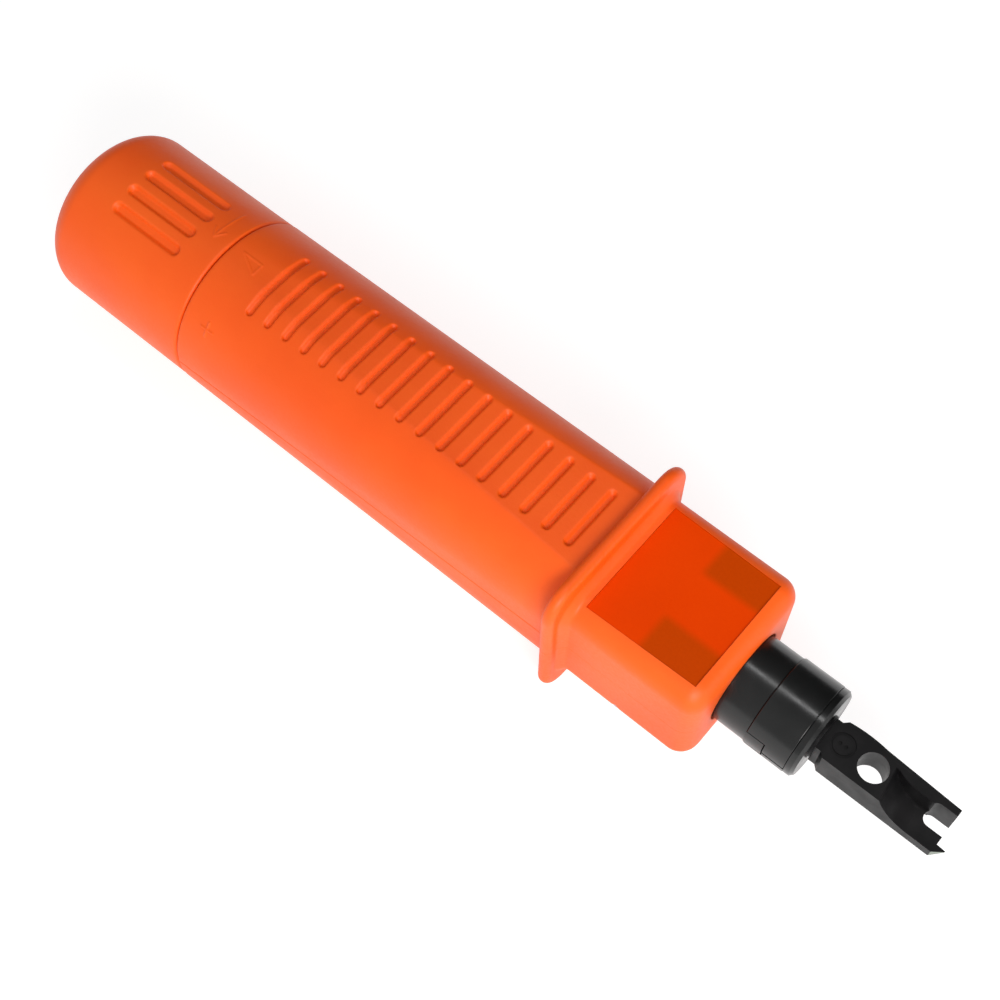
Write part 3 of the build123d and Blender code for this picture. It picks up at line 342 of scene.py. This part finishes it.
def inner_rings(phi):
    """The housing's inside from the nose bore back to the rear wall."""
    r = [ring(NOSE_X - 6, phi, BORE_R), ring(NOSE_X - 6, phi, MECHANISM_R)]
    cavity_front, cavity_rear = GUARD_X - 3, SEAM_X + 4
    xs = [cavity_front]
    for x in BULKHEADS:
        xs += [x + 1, x + 1, x - 1, x - 1]
    boss = SCREW_XS[1]
    inside = [x for x in xs if cavity_rear < x <= cavity_front]
    stops = sorted(set(inside + [boss + BOSS_R, boss - BOSS_R, RAIL_FRONT]), reverse=True)

    def radius(x):
        """Distance from the axis to the shell's inside at x."""
        along_y = np.abs(np.cos(phi)) + 1e-9
        bore = MECHANISM_R if x > -18 else CHAMBER_R
        if any(abs(x - b) < 1 for b in BULKHEADS):
            return np.full_like(phi, bore)
        skin = grip(phi, x, WALL)
        if abs(x - boss) < BOSS_R:
            skin = np.minimum(skin, np.maximum(BOSS_Y / along_y, bore))
        if x < RAIL_FRONT:
            flat = RAIL_Y / along_y
            skin = np.where(np.abs(flat * np.sin(phi)) < 4, np.minimum(skin, flat), skin)
        return skin

    for x in stops:
        r += [ring(x, phi, radius(x + 0.01)), ring(x, phi, radius(x - 0.01))]
    rear_wall = SPIGOT_REAR + 3
    bay = SPIGOT_R - 2.2
    r += [ring(cavity_rear, phi, CHAMBER_R), ring(cavity_rear, phi, bay)]
    r += [ring(rear_wall, phi, bay), ring(rear_wall, phi, SCREW_BORE_R)]
    return r


def half_columns():
    """Angles over one half, close together at grooves, corners and the parting edge."""
    rising = degrees_list(
        (0, 1.2, 0.2),
        (1.2, 3.0, 0.6),
        (3, 28, 1.6),
        (28, 54, 0.8),
        (54, 60, 1.2),
        (60, 72, 0.6),
        (72, 82, 1.4),
        (82, 90, 0.6),
    )
    falling = degrees_list(
        (90, 97, 0.6),
        (97, 108, 1.4),
        (108, 120, 0.6),
        (120, 132, 1.0),
        (132, 146, 0.6),
        (146, 152, 0.8),
        (152, 177, 1.6),
        (177, 178.8, 0.6),
        (178.8, 180, 0.2),
    )
    return np.concatenate([rising, falling[1:]])


def build_shell(name, start):
    """One half of the housing as a closed shell, from the angle start round by half a turn."""
    phi = half_columns() + start
    rings = outer_rings(phi) + inner_rings(phi)
    verts, faces = loft(rings, closed_round=False, closed_along=True)
    verts[np.abs(verts[:, 2]) < 1e-6, 2] = 0.0
    faces += end_cap(rings, 0) + end_cap(rings, len(phi) - 1)
    return new_piece(name, verts, faces)


def cut(piece, cutters):
    """Cuts closed shapes out of a piece and keeps the result as its mesh."""
    for cutter in cutters:
        modifier = piece.modifiers.new("cut", "BOOLEAN")
        modifier.operation = "DIFFERENCE"
        modifier.solver = "EXACT"
        modifier.object = cutter
    depsgraph = bpy.context.evaluated_depsgraph_get()
    mesh = bpy.data.meshes.new_from_object(piece.evaluated_get(depsgraph))
    piece.modifiers.clear()
    piece.data = mesh
    mesh.shade_smooth()
    mesh.set_sharp_from_angle(angle=SHARP)
    for cutter in cutters:
        bpy.data.objects.remove(cutter)


def prism(name, outline, low, high):
    """A closed prism on an outline in X and Y."""
    n = len(outline)
    verts = [(x, y, low) for x, y in outline] + [(x, y, high) for x, y in outline]
    faces = [tuple(range(n))[::-1], tuple(range(n, 2 * n))]
    faces += [(i, (i + 1) % n, n + (i + 1) % n, n + i) for i in range(n)]
    return new_piece(name, verts, faces)


def circle(x, y, radius, count=48):
    """Points round a circle in X and Y."""
    turns = [2 * pi * i / count for i in range(count)]
    return [(x + radius * cos(turn), y + radius * sin(turn)) for turn in turns]


# --- Knob -------------------------------------------------------------------------
KNOB_SLOTS = [side + step for side in (90, 270) for step in (-22.05, -7.35, 7.35, 22.05)]


def knob_detail(points, x):
    """Finger grooves and the raised turning arrow."""
    y, z = points[:, 1].copy(), points[:, 2].copy()
    radius = np.hypot(y, z)
    angle = np.degrees(np.arctan2(z, y)) % 360
    change = np.zeros_like(y)
    rear, front = SEAM_X - 21.0, SEAM_X - 6.2
    middle, half = (rear + front) / 2, (front - rear) / 2
    for slot in KNOB_SLOTS:
        v = radians(1) * (angle - slot) * GRIP_R
        d = slot_field(np.full_like(v, x - middle), v, half, 1.05)
        change = np.minimum(change, -0.72 * ease((1.2 - d) / 0.75))
    px = np.full_like(y, x - SEAM_X)
    lines = ((-3.6, 0.0, -3.6, 6.5), (-4.7, 1.5, -3.6, -0.2), (-2.5, 1.5, -3.6, -0.2))
    d = np.min([stroke_field(px, y, *line) for line in lines], axis=0)
    with_arrow = np.maximum(change, raised(d, 0.15, 0.08) + change)
    change = np.where(z > 0, with_arrow, change)
    scale = (radius + change) / radius
    points[:, 1] *= scale
    points[:, 2] *= scale
    return points


def build_knob():
    """The rear knob: crowned butt, round edge, grooved skirt and its inside."""
    phi = degrees_list(
        (0, 56, 3.0), (56, 124, 0.6), (124, 236, 3.0), (236, 304, 0.7), (304, 357, 3.0)
    )
    skirt, floor_x, boss, boss_front, crown, edge = 12.38, -81.5, 7.8, -63.5, 2.0, 5.2
    crown_r = GRIP_R - edge
    edge_x = BUTT_X + crown
    dome = (crown_r**2 + crown**2) / (2 * crown)
    rings = []
    for a in np.linspace(0.02, 1, 16):
        radius = crown_r * a
        rings.append(ring(BUTT_X + dome - np.sqrt(dome**2 - radius**2), phi, radius))
    # the butt's edge leaves the crown at its own slope and ends along the skirt
    lean = np.arcsin(crown_r / dome)
    for a in np.linspace(0, 1, 22)[1:]:
        angle = lean + (pi / 2 - lean) * (0.25 * ease(a) + 0.75 * a)
        x = edge_x + edge * (cos(lean) - cos(angle)) / cos(lean)
        radius = crown_r + edge * (sin(angle) - sin(lean)) / (1 - sin(lean))
        rings.append(ring(x, phi, radius))
    start = edge_x + edge
    xs = list(np.linspace(start, SEAM_X - 22.6, 5)[1:])
    xs += list(SEAM_X - np.arange(22.4, 18.9, -0.16))
    xs += list(SEAM_X - np.arange(18.5, 8.9, -1.2))
    xs += list(SEAM_X - np.arange(8.5, 2.0, -0.13))
    xs += [SEAM_X - 1.6]
    for x in xs:
        rings.append(knob_detail(ring(x, phi, GRIP_R), x))
    lip = 0.55
    for a in np.linspace(0, pi / 2, 8):
        rings.append(ring(KNOB_FRONT - lip * (1 - sin(a)), phi, GRIP_R - lip * (1 - cos(a))))
    for x, radius in ((KNOB_FRONT, skirt), (floor_x, skirt), (floor_x, boss), (boss_front, boss)):
        rings.append(ring(x, phi, radius))
    verts, faces = loft(rings, closed_round=True, closed_along=False)
    n = len(phi)
    faces.append(tuple(range(n))[::-1])
    faces.append(tuple(range(len(verts) - n, len(verts))))
    return new_piece("knob_shell", verts, faces)


# --- Materials ----------------------------------------------------------------------
def linear(r, g, b):
    """A colour given as screen values from 0 to 255."""
    out = []
    for c in (r, g, b):
        c /= 255
        out.append(c / 12.92 if c <= 0.04045 else ((c + 0.055) / 1.055) ** 2.4)
    return (*out, 1.0)


class Nodes:
    """A short way to write a material's node tree."""

    def __init__(self, name):
        self.material = bpy.data.materials.new(name)
        self.material.use_nodes = True
        self.tree = self.material.node_tree
        self.shader = self.tree.nodes["Principled BSDF"]
        self.position = self.add("ShaderNodeTexCoord").outputs["Object"]

    def add(self, kind, links=None, **settings):
        node = self.tree.nodes.new(kind)
        for key, value in settings.items():
            setattr(node, key, value)
        for key, value in (links or {}).items():
            if isinstance(value, bpy.types.NodeSocket):
                self.tree.links.new(value, node.inputs[key])
            else:
                node.inputs[key].default_value = value
        return node

    def noise(self, scale, detail=2.0, rough=0.5, stretch=None):
        source = self.position
        if stretch:
            source = self.add("ShaderNodeMapping", {"Vector": source, "Scale": stretch}).outputs[0]
        links = {"Vector": source, "Scale": scale, "Detail": detail, "Roughness": rough}
        return self.add("ShaderNodeTexNoise", links).outputs["Fac"]

    def ramp(self, fac, stops):
        node = self.add("ShaderNodeValToRGB", {"Fac": fac})
        elements = node.color_ramp.elements
        while len(elements) < len(stops):
            elements.new(0.5)
        for element, (at, colour) in zip(elements, stops):
            element.position = at
            element.color = colour
        return node.outputs["Color"]

    def mix(self, fac, a, b, blend="MIX"):
        node = self.add("ShaderNodeMix", data_type="RGBA", blend_type=blend)
        for index, value in ((0, fac), (6, a), (7, b)):
            if isinstance(value, bpy.types.NodeSocket):
                self.tree.links.new(value, node.inputs[index])
            else:
                node.inputs[index].default_value = value
        return node.outputs[2]

    def math(self, operation, a, b=0.0):
        node = self.add("ShaderNodeMath", operation=operation)
        for index, value in ((0, a), (1, b)):
            if isinstance(value, bpy.types.NodeSocket):
                self.tree.links.new(value, node.inputs[index])
            else:
                node.inputs[index].default_value = value
        return node.outputs[0]

    def bump(self, height, strength, distance, normal=None):
        links = {"Height": height, "Strength": strength, "Distance": distance}
        if normal:
            links["Normal"] = normal
        return self.add("ShaderNodeBump", links).outputs[0]

    def link(self, socket, name):
        self.tree.links.new(socket, self.shader.inputs[name])

    def set(self, **values):
        for key, value in values.items():
            self.shader.inputs[key.replace("_", " ")].default_value = value


def grey(v):
    return (v, v, v, 1.0)


def moulded_plastic(name, deep, middle, light):
    """Satin injection-moulded plastic: fine spark-eroded grain and faint flow marks."""
    m = Nodes(name)
    clouds = m.ramp(m.noise(38, 3, 0.55), [(0.32, deep), (0.5, middle), (0.7, light)])
    flow = m.ramp(m.noise(70, 2, 0.5, stretch=(0.25, 1, 1)), [(0.35, grey(0.45)), (0.65, grey(0.56))])
    colour = m.mix(0.35, clouds, flow, "OVERLAY")
    specks = m.ramp(m.noise(2600, 1, 0.5), [(0.74, grey(0)), (0.8, grey(1))])
    colour = m.mix(m.math("MULTIPLY", specks, 0.10), colour, light)
    m.link(colour, "Base Color")
    grain = m.noise(1700, 3, 0.65)
    waves = m.noise(160, 2, 0.5)
    normal = m.bump(waves, 0.10, 0.0006)
    m.link(m.bump(grain, 0.22, 0.00012, normal), "Normal")
    fine = m.math("MULTIPLY", grain, 0.6)
    broad = m.math("MULTIPLY", m.noise(90, 2), 0.4)
    m.link(m.ramp(m.math("ADD", fine, broad), [(0.3, grey(0.40)), (0.7, grey(0.54))]), "Roughness")
    m.set(IOR=1.5, Subsurface_Weight=0.05, Subsurface_Scale=0.002, Specular_IOR_Level=0.36)
    m.shader.inputs["Subsurface Radius"].default_value = (1.0, 0.35, 0.12)
    return m.material


def box_mask(m, low, high, soft):
    """1 inside an X-Y box, with soft edges."""
    split = m.add("ShaderNodeSeparateXYZ", {"Vector": m.position})
    mask = None
    for axis in (0, 1):
        value = split.outputs[axis]
        for edge, sign in ((low[axis], 1.0), (high[axis], -1.0)):
            links = {"Value": value, "From Min": edge - sign * soft, "From Max": edge + sign * soft}
            side = m.add("ShaderNodeMapRange", links, interpolation_type="SMOOTHSTEP").outputs[0]
            mask = side if mask is None else m.math("MULTIPLY", mask, side)
    return mask


def label_material():
    """A plain semi-gloss film in a deeper red-orange, with two darker printed blocks."""
    m = Nodes("label_film")
    base = m.ramp(m.noise(55, 3, 0.5), [(0.3, linear(222, 60, 0)), (0.7, linear(231, 65, 0))])
    front, half_front = label_high[0] * MM, 0.0103
    block_rear = front - 0.0098
    soft = 0.0009
    ink = linear(190, 64, 0)
    far = box_mask(m, (block_rear, 0.0046), (front + 0.001, half_front + 0.001), soft)
    near = box_mask(m, (block_rear, -half_front - 0.001), (front + 0.001, -0.0042), soft)
    blocks = m.math("MAXIMUM", far, near)
    colour = m.mix(m.math("MULTIPLY", blocks, 0.9), base, ink)
    dots = m.ramp(m.noise(2200, 1), [(0.35, grey(0.46)), (0.65, grey(0.54))])
    m.link(m.mix(0.25, colour, dots, "OVERLAY"), "Base Color")
    m.link(m.bump(m.noise(900, 2), 0.12, 0.00005), "Normal")
    m.link(m.ramp(m.noise(140, 2), [(0.3, grey(0.26)), (0.7, grey(0.36))]), "Roughness")
    m.set(Specular_IOR_Level=0.03)
    return m.material


def black_oxide():
    """Turned steel, chemically blackened: satin, with fine lathe lines."""
    m = Nodes("black_oxide")
    tone = m.ramp(m.noise(120, 4, 0.6), [(0.3, linear(7, 8, 8)), (0.7, linear(17, 18, 18))])
    m.link(tone, "Base Color")
    lathe = m.noise(60, 2, 0.6, stretch=(60, 0.6, 0.6))
    m.link(m.bump(lathe, 0.10, 0.00006, m.bump(m.noise(1400, 2), 0.08, 0.00005)), "Normal")
    m.link(m.ramp(m.noise(300, 3, 0.6), [(0.3, grey(0.18)), (0.7, grey(0.28))]), "Roughness")
    m.set(Metallic=0.0, Specular_IOR_Level=0.5)
    return m.material


def blade_steel():
    """Hardened black blade with light scuffs and a paler ground face at the cutter's point."""
    m = Nodes("blade_black")
    tone = m.ramp(m.noise(200, 4, 0.6), [(0.3, linear(13, 13, 14)), (0.7, linear(25, 24, 25))])
    scuff = m.ramp(m.noise(900, 3, 0.7, stretch=(0.15, 1, 1)), [(0.62, grey(0)), (0.78, grey(1))])
    tone = m.mix(m.math("MULTIPLY", scuff, 0.25), tone, linear(66, 64, 66))
    normal = m.add("ShaderNodeNewGeometry").outputs["True Normal"]
    facing = m.add("ShaderNodeSeparateXYZ", {"Vector": normal})
    place = m.add("ShaderNodeSeparateXYZ", {"Vector": m.position})
    tip_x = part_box("blade")[1].x
    at_tip = m.math("GREATER_THAN", place.outputs[0], tip_x - 0.0022)
    on_cutter = m.math("LESS_THAN", place.outputs[1], -0.0018)
    forward = m.math("MULTIPLY", at_tip, on_cutter)
    slanted = m.math("LESS_THAN", m.math("ABSOLUTE", m.math("ADD", facing.outputs[0], -0.62)), 0.22)
    ground = m.math("MULTIPLY", forward, slanted)
    m.link(m.mix(ground, tone, linear(124, 132, 122)), "Base Color")
    m.link(m.bump(m.noise(700, 3, 0.6), 0.12, 0.00006), "Normal")
    m.link(m.ramp(m.noise(350, 3), [(0.3, grey(0.32)), (0.7, grey(0.46))]), "Roughness")
    m.set(Metallic=0.0, Specular_IOR_Level=0.2)
    return m.material


def plain_part(name, dark, light, rough, metallic, scale):
    """Inner parts: the same recipe with each material's own tone, sheen and grain."""
    m = Nodes(name)
    m.link(m.ramp(m.noise(scale, 3, 0.6), [(0.3, dark), (0.7, light)]), "Base Color")
    m.link(m.bump(m.noise(scale * 8, 2), 0.15, 0.0001), "Normal")
    sheen = [(0.3, grey(rough - 0.07)), (0.7, grey(rough + 0.07))]
    m.link(m.ramp(m.noise(scale * 2, 2), sheen), "Roughness")
    m.set(Metallic=metallic)
    return m.material


orange = moulded_plastic("orange_plastic", linear(241, 85, 6), linear(247, 90, 9), linear(251, 96, 13))
FINISHES = {
    "orange_plastic": orange,
    "label_film": label_material(),
    "black_oxide_steel": black_oxide(),
    "blade_steel": blade_steel(),
    "inner_plastic": plain_part("inner_plastic", linear(60, 60, 62), linear(80, 80, 82), 0.5, 0.0, 90),
    "bright_steel": plain_part("bright_steel", linear(150, 152, 155), linear(185, 187, 190), 0.28, 1.0, 160),
    "spring_steel": plain_part("spring_steel", linear(110, 112, 118), linear(150, 152, 158), 0.32, 1.0, 160),
    "rubber_black": plain_part("rubber_black", linear(24, 24, 25), linear(38, 38, 38), 0.8, 0.0, 120),
}


def finish_nodes():
    """Gives every carried-over CAD node its finish, smooth across all but its real edges."""
    slot_of = {part["node"]: part["material_slot"] for part in frame["record"]["subparts"]}
    for name, obj in frame["nodes"].items():
        obj.data.materials.clear()
        obj.data.materials.append(FINISHES[slot_of[name]])
        obj.data.shade_smooth()
        obj.data.set_sharp_from_angle(angle=radians(28))


finish_nodes()

# --- Orange mouldings ------------------------------------------------------------------
upper = build_shell("housing_upper_shell", 0.0)
lower = build_shell("housing_lower_shell", pi)
gap = 0.06
rear_half = label_high[1] + gap
front_half = rear_half - 0.35
recess = prism(
    "recess",
    [
        (label_low[0] - gap, -rear_half),
        (label_high[0] + gap, -front_half),
        (label_high[0] + gap, front_half),
        (label_low[0] - gap, rear_half),
    ],
    label_low[2],
    label_low[2] + 5,
)
cut(upper, [recess])
pockets = [
    prism(f"pocket_{i}_{k}", circle(x, side * SCREW_Y, SCREW_POCKET_R), -GRIP_R - 1, screws_low[2] + 1.6)
    for i, x in enumerate(SCREW_XS)
    for k, side in enumerate((-1, 1))
]
cut(lower, pockets)
knob = build_knob()
for piece, node, body in (
    (upper, "housing_upper", "housing"),
    (lower, "housing_lower", "housing"),
    (knob, "adjuster_knob", "adjuster"),
):
    piece.data.materials.clear()
    piece.data.materials.append(orange)
    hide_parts(node)
    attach(piece, body)


# --- Camera, floor and light --------------------------------------------------------------
def add_camera():
    """The photograph's viewpoint: high on the near side, ahead of the finger guard."""
    yaw, height, roll = radians(17.747), radians(67.668), radians(36.0 + 0.875)
    toward = Vector((sin(yaw), -cos(yaw) * cos(height), cos(yaw) * sin(height)))
    right = Vector((cos(yaw), sin(yaw) * cos(height), -sin(yaw) * sin(height)))
    up = Vector((0.0, sin(height), cos(height)))
    rolled_right = cos(roll) * right + sin(roll) * up
    rolled_up = cos(roll) * up - sin(roll) * right
    axes = Matrix((rolled_right, rolled_up, toward)).transposed()
    data = bpy.data.cameras.new("photo_camera")
    data.sensor_width = 36.0
    data.lens = 59.05
    data.clip_start = 0.01
    camera = bpy.data.objects.new("photo_camera", data)
    camera.matrix_world = Matrix.Translation((0.08119, -0.09259, 0.22354)) @ axes.to_4x4()
    bpy.context.scene.collection.objects.link(camera)
    bpy.context.scene.camera = camera


def add_floor():
    """A wide pale sweep just under the tool."""
    z = cad_box[0][2] - 0.0003
    verts = [(-4000, -4000), (4000, -4000), (4000, 4000), (-4000, 4000)]
    mesh = bpy.data.meshes.new("floor")
    mesh.from_pydata([(x * MM, y * MM, z) for x, y in verts], [], [(0, 1, 2, 3)])
    floor = bpy.data.objects.new("floor", mesh)
    bpy.context.scene.collection.objects.link(floor)
    m = Nodes("pale_floor")
    m.link(m.ramp(m.noise(3, 2), [(0.3, grey(0.42)), (0.7, grey(0.44))]), "Base Color")
    m.set(Roughness=0.9, Specular_IOR_Level=0.1)
    m.link(m.ramp(m.noise(3, 2), [(0.3, grey(0.985)), (0.7, grey(1.0))]), "Emission Color")
    m.set(Emission_Strength=0.76)
    mesh.materials.append(m.material)


def add_light(name, place, aim, size, energy, colour=(1, 1, 1)):
    data = bpy.data.lights.new(name, "AREA")
    data.shape = "RECTANGLE"
    data.size, data.size_y = size
    data.energy = energy
    data.color = colour
    light = bpy.data.objects.new(name, data)
    light.location = place
    light.rotation_euler = (Vector(aim) - Vector(place)).to_track_quat("-Z", "Y").to_euler()
    bpy.context.scene.collection.objects.link(light)


add_camera()
add_floor()
add_light("key", (0.25, -0.21, 0.22), (0.03, 0.0, 0.0), (0.22, 0.17), 1.12, (1.0, 0.98, 0.96))
add_light("strip", (0.02, 0.05, 0.5), (0.02, 0.0, 0.0), (0.3, 0.05), 0.36)
add_light("front", (0.6, 0.14, 0.2), (0.07, 0.0, 0.0), (0.2, 0.2), 0.45)
world = bpy.data.worlds.new("studio")
world.use_nodes = True
sky = world.node_tree
direction = sky.nodes.new("ShaderNodeSeparateXYZ")
fade = sky.nodes.new("ShaderNodeMapRange")
for name, value in (("From Min", -1.0), ("From Max", 1.0), ("To Min", 0.62), ("To Max", 0.06)):
    fade.inputs[name].default_value = value
sky.links.new(sky.nodes.new("ShaderNodeTexCoord").outputs["Generated"], direction.inputs[0])
sky.links.new(direction.outputs[1], fade.inputs["Value"])
sky.links.new(fade.outputs[0], sky.nodes["Background"].inputs[1])
sky.nodes["Background"].inputs[0].default_value = (1, 1, 1, 1)
bpy.context.scene.world = world
bpy.context.scene.view_settings.view_transform = "Standard"
